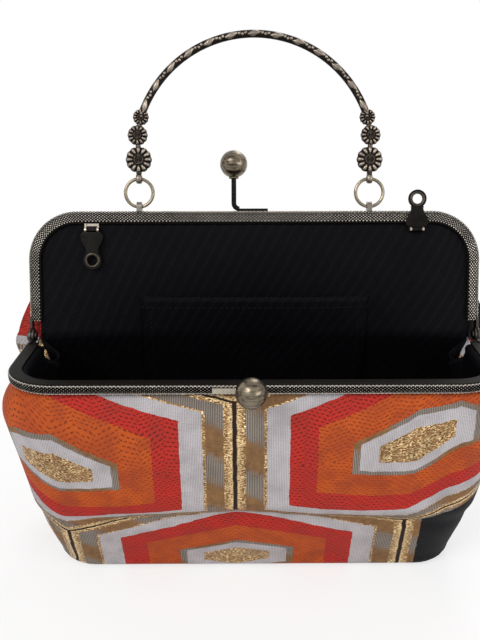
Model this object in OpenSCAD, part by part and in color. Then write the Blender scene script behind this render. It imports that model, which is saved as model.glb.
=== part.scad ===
// Kimono bag: a brocade clasp purse, standing open, with a metal frame, an arched handle and a black lining.
// The origin is the middle of the flat base. +X is to the right seen from the front, and -Y is the front.

/* [Clasp frame] */
// Outer width of the frame
frame_w = 240; // [210:1:270]
// Height of a frame half, from the hinge axis to the top of its bar
frame_h = 66; // [58:1:76]
// Outer corner radius of a frame half
frame_r = 26; // [20:1:32]
// Depth of the crimped channel in the plane of a half
bar_depth = 6.5; // [6:0.1:8]
// Thickness of a half, front to back
bar_t = 5; // [4.8:0.1:6]
// Sheet thickness of the channel
sheet_t = 0.9; // [0.7:0.05:1]
// Gap between the closed halves, where the chain tabs pass
closed_gap = 1.6; // [1.6:0.1:2.4]
// Lean of the rear half behind the vertical, in degrees
rear_lean = 18; // [8:1:26]
// Lift of the open front half above the horizontal, in degrees
front_lift = 4; // [0:1:10]
// Radius of the hinge rivets
rivet_r = 1.5; // [1.2:0.1:2]

/* [Bag] */
// Height of the hinge axis above the floor
hinge_z = 119.5; // [100:0.5:135]
// Width of the base
base_w = 218; // [190:1:230]
// Depth of the base
base_d = 88; // [70:1:100]
// Corner radius of the base, seen from above
base_r = 22; // [16:1:30]
// Radius of the edge between base and walls
edge_r = 7; // [5:1:14]
// Thickness of the brocade with its backing
brocade_t = 1.2; // [0.8:0.1:1.5]
// Thickness of the lining
lining_t = 0.8; // [0.5:0.1:1]
// How far the front wall bulges
front_bulge = 10; // [4:1:14]
// How far the rear panel bulges behind its frame half
rear_bulge = 20; // [8:1:24]

/* [Handle] */
// Distance between the handle's two rings
ring_span = 122; // [110:1:140]
// Height of the handle's top above the rear bar
handle_rise = 94; // [84:1:105]
// Radius of the handle's rod
rod_r = 2.4; // [2:0.1:2.8]
// Radius of the rings, at the middle of their wire
ring_r = 7.3; // [6.5:0.1:8.5]
// Radius of the ring wire
wire_r = 0.9; // [0.7:0.05:1]

/* [Kiss lock and chain tabs] */
// Radius of the kiss-lock balls
ball_r = 7.2; // [6:0.1:7.3]
// Sideways place of the rear ball
rear_ball_x = -10.9; // [-14:0.1:-10.6]
// Sideways place of the front ball
front_ball_x = -2; // [-2.3:0.1:2]
// Distance of each chain tab from the side of the frame
tab_inset = 34; // [32:1:50]
// Length of a chain tab, from its pin to the middle of its eyelet
tab_len = 16; // [15:0.5:20]

/* [Hidden] */
$fn = 64;

brocade_color = "#d8532a";
lining_color = "#15151a";
steel_color = "#8d8578";
dark_steel_color = "#3c3733";
bright_color = "#c9c3b6";
paper_color = "#c8b48c";

slit = 0.3;                       // running gap between pieces that pass each other
cut = 1;                          // how far a cutter runs past what it cuts
half_gap = closed_gap / 2;
bar_mid = half_gap + bar_t / 2;   // middle of a half's thickness, from the closing plane
leg_end = 8;                      // where the channel's legs stop, above the hinge axis
ear_t = 1.2;
ear_r = 4;
ear_lap = 2;                      // how far an ear's tongue runs up into its leg
rivet_head_r = 2.6;
rivet_head_t = 1;
rivet_tail_t = 0.6;
pin_play = 0.03;

cord_depth = 2;                   // paper cord at the bottom of the channel
cord_play = 0.2;

// Cloth in the channel and along the walls
rim_inset = 4;
brocade_y = half_gap + bar_t - sheet_t - slit;
cloth_gap = 0.3;
lining_out = brocade_t + cloth_gap;
lining_in = lining_out + lining_t;
pocket_t = 0.8;
pocket_up = 0.35;                 // share of the rear panel that the pocket covers
front_rim_drop = half_gap + bar_t + 0.6;
front_rim_inset = 3;
front_leg_low = 10;
gusset_dip = 20;
gusset_tuck = 7;
side_bulge = 6;
base_side_low = 8;

corner_n = 5;
line_n = 10;
leg_n = 3;
gusset_n = 5;
edge_n = 3;
wall_n = 8;
panel_n = 5;

// Places on the rear bar's top edge
lug_r = 2.6;
eye_play = 0.45;
lug_len = 2.6;
eye_len = 3.6;
lug_rise = 2.4;
ring_mid = frame_h + lug_rise + ring_r;
ring_top = frame_h + lug_rise + 2 * ring_r;
flower_r = [6.9, 5.3, 4.2];
flower_in = [0, -0.4, 1.4];
flower_rise = [10, 22.7, 32];
flower_t = 4.2;
flower_eye_t = 5;
petals = 12;
link_r = 1.6;

// Arc of the handle's rod, through its two upper flowers and its top
arc_half = ring_span / 2 - flower_in[2];
arc_foot = ring_top + flower_rise[2];
arc_top = frame_h + handle_rise - rod_r;
arc_sag = arc_top - arc_foot;
arc_r = (arc_half * arc_half + arc_sag * arc_sag) / (2 * arc_sag);
arc_angle = asin(arc_half / arc_r);

post_r = 1.3;
post_bend = 3;
post_strip_len = 15;
post_strip_t = 1.4;
ball_seat = 1.5;
rear_ball_rise = 24.7;
front_ball_rise = 13;
front_ball_lean = 3.9;            // how far the front ball leans over towards the rear half

tab_x = frame_w / 2 - tab_inset;
tab_t = 1;
tab_w = 8;
tab_neck_w = 5;
tab_eye_r = 4.8;
tab_hole_r = 2.6;
tab_pin_r = 0.7;
tab_knuckle_r = 1.3;
tab_knuckle_len = 5;
tab_pin_play = 0.05;
cheek_t = 1;
clip_drop = 3.3;
tab_pin_z = frame_h - bar_depth - clip_drop;

// Frames of the two halves

// Puts a shape drawn for the closed, upright bag where the rear half leans
module in_rear_half() {
    translate([0, 0, hinge_z]) rotate([-rear_lean, 0, 0]) children();
}

// Puts a shape drawn for the closed, upright bag where the open front half lies
module in_front_half() {
    translate([0, 0, hinge_z]) rotate([90 - front_lift, 0, 0]) children();
}

// Extrudes a plan drawn in the plane of a half, from y_low towards +Y
module plate(y_low, thickness) {
    translate([0, y_low + thickness, 0]) rotate([90, 0, 0]) linear_extrude(thickness) children();
}

// Round-cornered arch with its feet at low
module arch_plan(w, h, r, low) {
    translate([-w / 2, low]) square([w, h - r - low]);
    translate([-w / 2 + r, low]) square([w - 2 * r, h - low]);
    for (side = [-1, 1]) translate([side * (w / 2 - r), h - r]) intersection() {
        circle(r);
        translate([-r, 0]) square([2 * r, r]);
    }
}

// Band of the frame's arch, between two depths measured in from its outer edge
module band_plan(from, to, low) {
    difference() {
        arch_plan(frame_w - 2 * from, frame_h - from, frame_r - from, low);
        arch_plan(frame_w - 2 * to, frame_h - to, frame_r - to, low - cut);
    }
}

// Hinge ear: a round end on the hinge axis and a tongue up to the leg
module ear(x_low) {
    difference() {
        translate([x_low, 0, 0]) rotate([90, 0, 90]) linear_extrude(ear_t) {
            circle(ear_r);
            square([half_gap + bar_t, leg_end + ear_lap]);
        }
        translate([x_low - cut, 0, 0]) rotate([0, 90, 0])
            cylinder(h = ear_t + 2 * cut, r = rivet_r + pin_play);
    }
}

// One half of the frame: a channel that opens inwards, with an ear on each leg
module frame_half(ear_depth) {
    difference() {
        plate(half_gap, bar_t) band_plan(0, bar_depth, leg_end);
        plate(half_gap + sheet_t, bar_t - 2 * sheet_t) band_plan(sheet_t, bar_depth + cut, leg_end - cut);
    }
    ear(frame_w / 2 - ear_depth - ear_t);
    ear(-frame_w / 2 + ear_depth);
}

module rear_frame() {
    color(steel_color) in_rear_half() frame_half(0);
}

module front_frame() {
    color(steel_color) in_front_half() mirror([0, 1, 0]) frame_half(ear_t + slit);
}

// Paper cord that wedges the cloth in a channel
module paper_cord() {
    plate(half_gap + sheet_t + cord_play, bar_t - 2 * (sheet_t + cord_play))
        band_plan(sheet_t + cord_play, sheet_t + cord_play + cord_depth, leg_end + ear_lap + slit);
}

module rear_paper_cord() {
    color(paper_color) in_rear_half() paper_cord();
}

module front_paper_cord() {
    color(paper_color) in_front_half() mirror([0, 1, 0]) paper_cord();
}

module hinge_rivets() {
    stack = 2 * ear_t + 2 * slit;
    color(dark_steel_color) translate([0, 0, hinge_z]) for (side = [0, 1])
        mirror([side, 0, 0]) rotate([0, 90, 0]) {
            translate([0, 0, frame_w / 2 - stack]) cylinder(h = stack, r = rivet_r);
            translate([0, 0, frame_w / 2]) cylinder(h = rivet_head_t, r = rivet_head_r);
            translate([0, 0, frame_w / 2 - stack - rivet_tail_t])
                cylinder(h = rivet_tail_t, r = rivet_head_r);
        }
}

// Kiss lock

// Strip soldered on the bar, bent up into a stem at x = 0; the stem leans back by lean degrees
module clasp_post(stem_len, lean) {
    translate([post_bend, -bar_t / 4, 0]) cube([post_strip_len, bar_t / 2, post_strip_t]);
    translate([post_bend, 0, post_bend + post_r]) rotate([90, 0, 0]) rotate([0, 0, 180])
        rotate_extrude(angle = 90) translate([post_bend, 0]) circle(post_r);
    translate([0, 0, post_bend + post_r]) rotate([-lean, 0, 0]) cylinder(h = stem_len, r = post_r);
}

front_stem_lean = atan(front_ball_lean / (front_ball_rise - post_bend - post_r));
front_stem_reach = norm([front_ball_lean, front_ball_rise - post_bend - post_r]);
rear_stem_reach = rear_ball_rise - post_bend - post_r;

module rear_post_solid() {
    translate([rear_ball_x, bar_mid, frame_h]) clasp_post(rear_stem_reach - ball_r + ball_seat, 0);
}

module front_post_solid() {
    translate([front_ball_x, -bar_mid, frame_h]) mirror([1, 0, 0])
        clasp_post(front_stem_reach - ball_r + ball_seat, front_stem_lean);
}

module rear_clasp_post() {
    color(dark_steel_color) in_rear_half() rear_post_solid();
}

module front_clasp_post() {
    color(dark_steel_color) in_front_half() front_post_solid();
}

module rear_clasp_ball() {
    color(steel_color) in_rear_half() difference() {
        translate([rear_ball_x, bar_mid, frame_h + rear_ball_rise]) sphere(ball_r);
        rear_post_solid();
    }
}

module front_clasp_ball() {
    color(steel_color) in_front_half() difference() {
        translate([front_ball_x, front_ball_lean - bar_mid, frame_h + front_ball_rise]) sphere(ball_r);
        front_post_solid();
    }
}

// Handle

// Short tube along X that a ring passes through
module ring_eye(length) {
    translate([-length / 2, 0, 0]) rotate([0, 90, 0]) cylinder(h = length, r = lug_r);
}

module ring_eye_hole(length) {
    translate([-length / 2 - cut, 0, 0]) rotate([0, 90, 0])
        cylinder(h = length + 2 * cut, r = wire_r + eye_play);
}

module ring_lug(side) {
    color(dark_steel_color) in_rear_half() translate([side * ring_span / 2, bar_mid, frame_h + lug_rise])
        difference() {
            union() {
                ring_eye(lug_len);
                translate([-lug_len / 2, -lug_r, -lug_rise]) cube([lug_len, 2 * lug_r, lug_rise]);
            }
            ring_eye_hole(lug_len);
            translate([-lug_len, -2 * lug_r, -lug_rise - lug_r]) cube([2 * lug_len, 4 * lug_r, lug_r]);
        }
}

module left_ring_lug() { ring_lug(-1); }
module right_ring_lug() { ring_lug(1); }

module ring(side) {
    color(bright_color) in_rear_half() translate([side * ring_span / 2, bar_mid, ring_mid]) rotate([90, 0, 0])
        rotate_extrude() translate([ring_r, 0]) circle(wire_r);
}

module left_ring() { ring(-1); }
module right_ring() { ring(1); }

// Flower of the handle: round petals about a raised eye, the same on both faces
module flower(r) {
    petal_r = r * sin(180 / petals) * 0.95;
    translate([0, flower_t / 2, 0]) rotate([90, 0, 0]) linear_extrude(flower_t) {
        circle(r - petal_r);
        for (i = [0 : petals - 1]) rotate(i * 360 / petals) translate([r - petal_r, 0]) circle(petal_r);
    }
    translate([0, flower_eye_t / 2, 0]) rotate([90, 0, 0]) cylinder(h = flower_eye_t, r = r * 0.36);
}

// Stem that joins a flower to the next one up
module flower_link(side, i) {
    dx = -side * (flower_in[i + 1] - flower_in[i]);
    dz = flower_rise[i + 1] - flower_rise[i];
    translate([-side * flower_in[i], 0, flower_rise[i]]) rotate([0, atan2(dx, dz), 0])
        cylinder(h = norm([dx, dz]), r = link_r);
}

module handle_end(side) {
    translate([side * ring_span / 2, bar_mid, ring_top]) {
        difference() {
            union() {
                ring_eye(eye_len);
                translate([-eye_len / 2, -lug_r / 2, 0]) cube([eye_len, lug_r, flower_rise[0]]);
            }
            ring_eye_hole(eye_len);
        }
        for (i = [0 : len(flower_r) - 1])
            translate([-side * flower_in[i], 0, flower_rise[i]]) flower(flower_r[i]);
        for (i = [0 : len(flower_r) - 2]) flower_link(side, i);
    }
}

module handle() {
    color(steel_color) in_rear_half() {
        for (side = [-1, 1]) handle_end(side);
        translate([0, bar_mid, arc_top - arc_r]) rotate([90, 0, 0]) rotate([0, 0, 90 - arc_angle])
            rotate_extrude(angle = 2 * arc_angle) translate([arc_r, 0]) circle(rod_r);
    }
}

// Chain tabs

module tab_plan() {
    difference() {
        union() {
            polygon([[-tab_w / 2, 0], [-tab_w / 2, tab_len * 0.2], [-tab_neck_w / 2, tab_len * 0.45],
                [-tab_neck_w / 2, tab_len], [tab_neck_w / 2, tab_len], [tab_neck_w / 2, tab_len * 0.45],
                [tab_w / 2, tab_len * 0.2], [tab_w / 2, 0]]);
            translate([0, tab_len]) circle(tab_eye_r);
        }
        translate([0, tab_len]) circle(tab_hole_r);
    }
}

// Thin tab with a rolled knuckle at its pin; up is 1 for a tab turned up and -1 for one that hangs
module tab(side, up) {
    knuckle_gap = (tab_w - tab_knuckle_len) / 2;
    color(dark_steel_color) in_rear_half() translate([side * tab_x, 0, tab_pin_z])
        rotate([up > 0 ? 0 : 180, 0, 0]) difference() {
            union() {
                plate(-tab_t / 2, tab_t) tab_plan();
                translate([-tab_knuckle_len / 2, 0, 0]) rotate([0, 90, 0])
                    cylinder(h = tab_knuckle_len, r = tab_knuckle_r);
            }
            translate([-tab_w, 0, 0]) rotate([0, 90, 0])
                cylinder(h = 2 * tab_w, r = tab_pin_r + tab_pin_play);
            for (end = [-1, 1])
                translate([end * (tab_knuckle_len / 2 + knuckle_gap) - knuckle_gap, -tab_w / 2, -tab_w / 2])
                    cube([2 * knuckle_gap, tab_w, tab_w / 2 + clip_drop + slit]);
        }
}

module left_tab() { tab(-1, -1); }
module right_tab() { tab(1, 1); }

// Bracket under the bar that holds a tab's pin between two cheeks
module tab_clip(side) {
    span = tab_knuckle_len + 2 * slit;
    clip_w = span + 2 * cheek_t;
    color(bright_color) in_rear_half() translate([side * tab_x, 0, tab_pin_z]) {
        translate([-clip_w / 2, half_gap, clip_drop - tab_knuckle_r]) cube([clip_w, sheet_t, tab_knuckle_r]);
        for (end = [0, 1]) mirror([end, 0, 0])
            translate([span / 2, 0, 0]) rotate([90, 0, 90]) linear_extrude(cheek_t) {
                circle(tab_knuckle_r);
                square([half_gap + sheet_t, clip_drop]);
            }
        translate([-clip_w / 2, 0, 0]) rotate([0, 90, 0]) cylinder(h = clip_w, r = tab_pin_r);
    }
}

module left_tab_clip() { tab_clip(-1); }
module right_tab_clip() { tab_clip(1); }

// Cloth: one grid of points serves brocade, lining and pocket; inset is the depth in from the brocade's face

// Points of a round-cornered arch from its left foot to its right foot
function arch_points(hw, top, r, low, legs) = let (turn = 90 / corner_n) concat(
    [for (i = [0 : 1 : legs - 1]) [-hw, low + (top - r - low) * i / legs]],
    [for (i = [0 : corner_n]) [-(hw - r) - r * cos(turn * i), top - r + r * sin(turn * i)]],
    [for (i = [1 : line_n - 1]) [(hw - r) * (2 * i / line_n - 1), top]],
    [for (i = [corner_n : -1 : 0]) [hw - r + r * cos(turn * i), top - r + r * sin(turn * i)]],
    [for (i = [legs - 1 : -1 : 0]) [hw, low + (top - r - low) * i / legs]]);

function reversed(list) = [for (i = [len(list) - 1 : -1 : 0]) list[i]];
function between(a, b, n) = [for (i = [1 : n]) a + (b - a) * i / (n + 1)];
function curve_between(a, c, b, n) = [for (i = [1 : n]) let (t = i / (n + 1))
    a * (1 - t) * (1 - t) + c * 2 * t * (1 - t) + b * t * t];

// Closed loop: rear arch left to right, right side, front arch right to left, left side
function loop(rear, right, front, left) = concat(rear, right, reversed(front), left);

// Loop of the base at height z, drawn in by inset
function base_loop(inset, z) = let (
    hw = base_w / 2 - inset,
    d = base_d / 2 - inset,
    r = base_r - inset,
    rear = [for (p = arch_points(hw, d, r, 0, 0)) [p[0], p[1], z]],
    front = [for (p = arch_points(hw, d, r, base_side_low, leg_n)) [p[0], -p[1], z]],
    last = len(rear) - 1)
    loop(rear, between(rear[last], front[len(front) - 1], gusset_n),
        front, between(front[0], rear[0], gusset_n));

// Point of the rear half, from its own upright coordinates
function rear_point(x, y, z) =
    [x, y * cos(rear_lean) + z * sin(rear_lean), hinge_z + z * cos(rear_lean) - y * sin(rear_lean)];

// Point of the open front half, from its own upright coordinates
function front_point(x, y, z) =
    [x, y * sin(front_lift) - z * cos(front_lift), hinge_z + y * cos(front_lift) + z * sin(front_lift)];

rear_hw = frame_w / 2 - rim_inset;
function rear_edge(inset) =
    arch_points(rear_hw - inset, frame_h - rim_inset - inset, frame_r - rim_inset - inset, 0, 0);

// Rear panel at the share up of its height; it bulges most at its foot and lies flat in the channel
function panel_row(inset, up) = [for (p = rear_edge(inset)) let (
    flat = 1 - pow(p[0] / (rear_hw - inset), 2))
    rear_point(p[0], brocade_y - inset + rear_bulge * flat * flat * pow(1 - up, 2), p[1] * up)];

// Loop at the hinges: the rear panel's foot, the tucked gussets and the rim under the front half
function rim_loop(inset) = let (
    rear = panel_row(inset, 0),
    front_hw = frame_w / 2 - front_rim_inset - inset,
    front_top = frame_h - front_rim_inset - inset,
    front_r = frame_r - front_rim_inset - inset,
    front = [for (p = arch_points(front_hw, front_top, front_r, front_leg_low, leg_n))
        front_point(p[0], -front_rim_drop, p[1])],
    last = len(rear) - 1,
    tuck = rear_hw - gusset_tuck - inset,
    dip = hinge_z - front_rim_drop - gusset_dip)
    loop(rear, curve_between(rear[last], [tuck, 0, dip], front[len(front) - 1], gusset_n),
        front, curve_between(front[0], [-tuck, 0, dip], rear[0], gusset_n));

function bulge_of(p) = let (way = p[1] / norm([p[0] * base_d / base_w, p[1]]))
    side_bulge + (front_bulge - side_bulge) * pow(max(0, -way), 2);
function outward(p) = let (d = [p[0] / base_w, p[1] / base_d, 0]) d / norm(d);

// Rows of the walls, from the base to the hinges
function edge_row(inset, i) = let (a = 90 * i / edge_n, r = edge_r - inset)
    base_loop(inset + r * (1 - sin(a)), inset + r * (1 - cos(a)));
function wall_row(inset, i) = let (
    w = i / wall_n,
    low = base_loop(inset, edge_r),
    high = rim_loop(inset))
    [for (k = [0 : len(low) - 1])
        low[k] * (1 - w) + high[k] * w + outward(low[k]) * bulge_of(low[k]) * sin(180 * w)];
function cloth_rows(inset) = concat(
    [for (i = [0 : edge_n]) edge_row(inset, i)],
    [for (i = [1 : wall_n]) wall_row(inset, i)]);
function panel_rows(inset) = [for (i = [1 : panel_n]) panel_row(inset, i / panel_n)];

function flatten(rows) = [for (row = rows) for (p = row) p];
function quad(a, b, c, d) = [[a, b, c], [a, c, d]];
function quad_back(a, b, c, d) = [[c, b, a], [d, c, a]];

// Closed wall between two depths of the cloth, open at the mouth
module cloth_wall(inset_out, inset_in) {
    cols = len(rim_loop(0));
    rear_cols = len(rear_edge(0));
    rows = edge_n + 1 + wall_n;
    top = rows - 1;
    layer = rows * cols + panel_n * rear_cols;
    points = concat(flatten(cloth_rows(inset_out)), flatten(panel_rows(inset_out)),
        flatten(cloth_rows(inset_in)), flatten(panel_rows(inset_in)),
        [[0, 0, inset_out], [0, 0, inset_in]]);
    under_mid = 2 * layer;
    floor_mid = under_mid + 1;
    function at(row, col) = row <= top
        ? row * cols + col % cols
        : rows * cols + (row - rows) * rear_cols + col;
    function patch(row, col) = [at(row, col), at(row, col + 1), at(row + 1, col + 1), at(row + 1, col)];
    patches = concat(
        [for (row = [0 : top - 1]) for (col = [0 : cols - 1]) patch(row, col)],
        [for (row = [top : top + panel_n - 1]) for (col = [0 : rear_cols - 2]) patch(row, col)]);
    rim = concat(
        [for (row = [top : top + panel_n]) at(row, 0)],
        [for (col = [1 : rear_cols - 1]) at(top + panel_n, col)],
        [for (row = [top + panel_n - 1 : -1 : top]) at(row, rear_cols - 1)],
        [for (col = [rear_cols : cols - 1]) at(top, col)]);
    faces = concat(
        [for (p = patches) each quad(p[0], p[1], p[2], p[3])],
        [for (p = patches) each quad_back(p[0] + layer, p[1] + layer, p[2] + layer, p[3] + layer)],
        [for (i = [0 : len(rim) - 1]) let (a = rim[i], b = rim[(i + 1) % len(rim)])
            each quad(a, b, b + layer, a + layer)],
        [for (col = [0 : cols - 1]) [at(0, col + 1), at(0, col), under_mid]],
        [for (col = [0 : cols - 1]) [at(0, col) + layer, at(0, col + 1) + layer, floor_mid]]);
    polyhedron(points, faces, convexity = 8);
}

module outer_shell() {
    color(brocade_color) cloth_wall(0, brocade_t);
}

module lining() {
    color(lining_color) cloth_wall(lining_out, lining_in);
}

// Flat pocket sewn to the lining of the rear wall
module inner_pocket() {
    first_col = corner_n + 2;
    last_col = corner_n + line_n - 2;
    first_row = edge_n + 3;
    function layer(inset) = let (
        low = cloth_rows(inset),
        rows = concat(
            [for (row = [first_row : len(low) - 1]) low[row]],
            [for (up = [1 / panel_n, pocket_up]) panel_row(inset, up)]))
        [for (row = rows) [for (col = [first_col : last_col]) row[col]]];
    outer = layer(lining_in + cloth_gap);
    inner = layer(lining_in + cloth_gap + pocket_t);
    rows = len(outer);
    cols = len(outer[0]);
    n = rows * cols;
    function at(row, col) = row * cols + col;
    patches = [for (row = [0 : rows - 2]) for (col = [0 : cols - 2])
        [at(row, col), at(row, col + 1), at(row + 1, col + 1), at(row + 1, col)]];
    rim = concat(
        [for (row = [0 : rows - 1]) at(row, 0)],
        [for (col = [1 : cols - 1]) at(rows - 1, col)],
        [for (row = [rows - 2 : -1 : 0]) at(row, cols - 1)],
        [for (col = [cols - 2 : -1 : 1]) at(0, col)]);
    faces = concat(
        [for (p = patches) each quad(p[0], p[1], p[2], p[3])],
        [for (p = patches) each quad_back(p[0] + n, p[1] + n, p[2] + n, p[3] + n)],
        [for (i = [0 : len(rim) - 1]) let (a = rim[i], b = rim[(i + 1) % len(rim)])
            each quad(a, b, b + n, a + n)]);
    color(lining_color) polyhedron(concat(flatten(outer), flatten(inner)), faces, convexity = 4);
}

outer_shell();
lining();
inner_pocket();
rear_frame();
front_frame();
rear_paper_cord();
front_paper_cord();
hinge_rivets();
rear_clasp_post();
rear_clasp_ball();
front_clasp_post();
front_clasp_ball();
handle();
left_ring();
right_ring();
left_ring_lug();
right_ring_lug();
left_tab();
right_tab();
left_tab_clip();
right_tab_clip();
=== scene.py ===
"""Kimono bag of brocade on a hinged clasp frame, standing open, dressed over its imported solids."""
import math

import bmesh
import bpy
import numpy as np
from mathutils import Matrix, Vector


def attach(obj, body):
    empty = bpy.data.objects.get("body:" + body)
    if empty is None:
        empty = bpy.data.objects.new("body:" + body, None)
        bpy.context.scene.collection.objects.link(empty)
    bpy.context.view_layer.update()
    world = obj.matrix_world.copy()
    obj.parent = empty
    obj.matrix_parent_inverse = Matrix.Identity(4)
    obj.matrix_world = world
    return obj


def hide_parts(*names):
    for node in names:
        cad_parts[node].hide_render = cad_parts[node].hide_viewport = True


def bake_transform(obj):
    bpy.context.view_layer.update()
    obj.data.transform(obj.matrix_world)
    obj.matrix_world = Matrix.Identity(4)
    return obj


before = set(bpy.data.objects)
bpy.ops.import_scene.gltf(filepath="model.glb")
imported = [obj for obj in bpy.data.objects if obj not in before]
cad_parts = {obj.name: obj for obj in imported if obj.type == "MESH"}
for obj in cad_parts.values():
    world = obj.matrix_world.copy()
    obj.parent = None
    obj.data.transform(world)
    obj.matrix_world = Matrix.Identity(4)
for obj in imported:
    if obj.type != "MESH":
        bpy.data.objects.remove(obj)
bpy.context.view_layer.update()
scene = bpy.context.scene
scene.view_settings.view_transform = "Standard"

# Sizes shared with the part's source, in millimetres and degrees
MM = 0.001
FRAME_W = 240.0
FRAME_H = 66.0
FRAME_R = 26.0
BAR_DEPTH = 6.5
BAR_T = 5.0
SHEET_T = 0.9
HALF_GAP = 0.8
BAR_MID = HALF_GAP + BAR_T / 2
LEG_END = 8.0
REAR_LEAN = 18.0
FRONT_LIFT = 4.0
HINGE_Z = 119.5
BASE_W = 218.0
BASE_D = 88.0
BASE_R = 22.0
EDGE_R = 7.0
BROCADE_T = 1.2
LINING_T = 0.8
FRONT_BULGE = 10.0
REAR_BULGE = 20.0
SIDE_BULGE = 6.0
RIM_INSET = 4.0
BROCADE_Y = 4.6
FRONT_RIM_INSET = 3.0
FRONT_RIM_DROP = 6.4
FRONT_LEG_LOW = 10.0
GUSSET_DIP = 20.0
GUSSET_TUCK = 7.0
BASE_SIDE_LOW = 8.0
LINING_OUT = 1.5
RING_SPAN = 122.0
RING_TOP = FRAME_H + 2.4 + 2 * 7.3
ROD_R = 2.4
FLOWER_R = (6.9, 5.3, 4.2)
FLOWER_IN = (0.0, -0.4, 1.4)
FLOWER_RISE = (10.0, 22.7, 32.0)
FLOWER_T = 4.2
HANDLE_TOP = FRAME_H + 94.0
BALL_R = 7.2
REAR_BALL = (-10.9, BAR_MID, FRAME_H + 24.7)
FRONT_STEM = (0.0, 3.9, 13.0 - 4.3)
FRONT_BALL = (-2.0, FRONT_STEM[1] - BAR_MID, FRAME_H + 13.0)
TAB_X = 86.0
TAB_LEN = 16.0
TAB_PIN_Z = FRAME_H - BAR_DEPTH - 3.3

LEAN = math.radians(REAR_LEAN)
LIFT = math.radians(FRONT_LIFT)


def points_of(*parts):
    """Points from arrays of their coordinates, where a plain number serves for every point."""
    return np.stack(np.broadcast_arrays(*parts), -1)


def rear_place(p):
    """World place, in mm, of points drawn for the closed upright bag, on the leaning rear half."""
    p = np.asarray(p, float)
    x, y, z = p[..., 0], p[..., 1], p[..., 2]
    up = HINGE_Z + z * math.cos(LEAN) - y * math.sin(LEAN)
    return np.stack([x, y * math.cos(LEAN) + z * math.sin(LEAN), up], -1)


def front_place(p):
    """World place, in mm, of points drawn for the closed upright bag, on the open front half."""
    p = np.asarray(p, float)
    x, y, z = p[..., 0], p[..., 1], p[..., 2]
    up = HINGE_Z + y * math.cos(LIFT) + z * math.sin(LIFT)
    return np.stack([x, y * math.sin(LIFT) - z * math.cos(LIFT), up], -1)


def add_object(name, data):
    piece = bpy.data.objects.new(name, data)
    scene.collection.objects.link(piece)
    return piece


# Camera: the photograph's place, found from the frame's corners, hinges, rings and base line
VIEW_TURN = math.radians(-0.4)
VIEW_TILT = math.radians(23.5)
VIEW_RANGE = 0.437
VIEW_AIM = Vector((0.0, 0.0, 0.1195))

camera_data = bpy.data.cameras.new("photo_camera")
camera_data.sensor_width = 36.0
camera_data.lens = 45.9
camera_data.shift_x = -0.023
camera_data.shift_y = 0.024
camera_data.clip_start = 0.01
camera = add_object("photo_camera", camera_data)
view_way = Vector((math.sin(VIEW_TURN) * math.cos(VIEW_TILT),
                   -math.cos(VIEW_TURN) * math.cos(VIEW_TILT),
                   math.sin(VIEW_TILT)))
camera.location = VIEW_AIM + VIEW_RANGE * view_way
camera.rotation_euler = (-view_way).to_track_quat("-Z", "Y").to_euler()
scene.camera = camera


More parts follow.
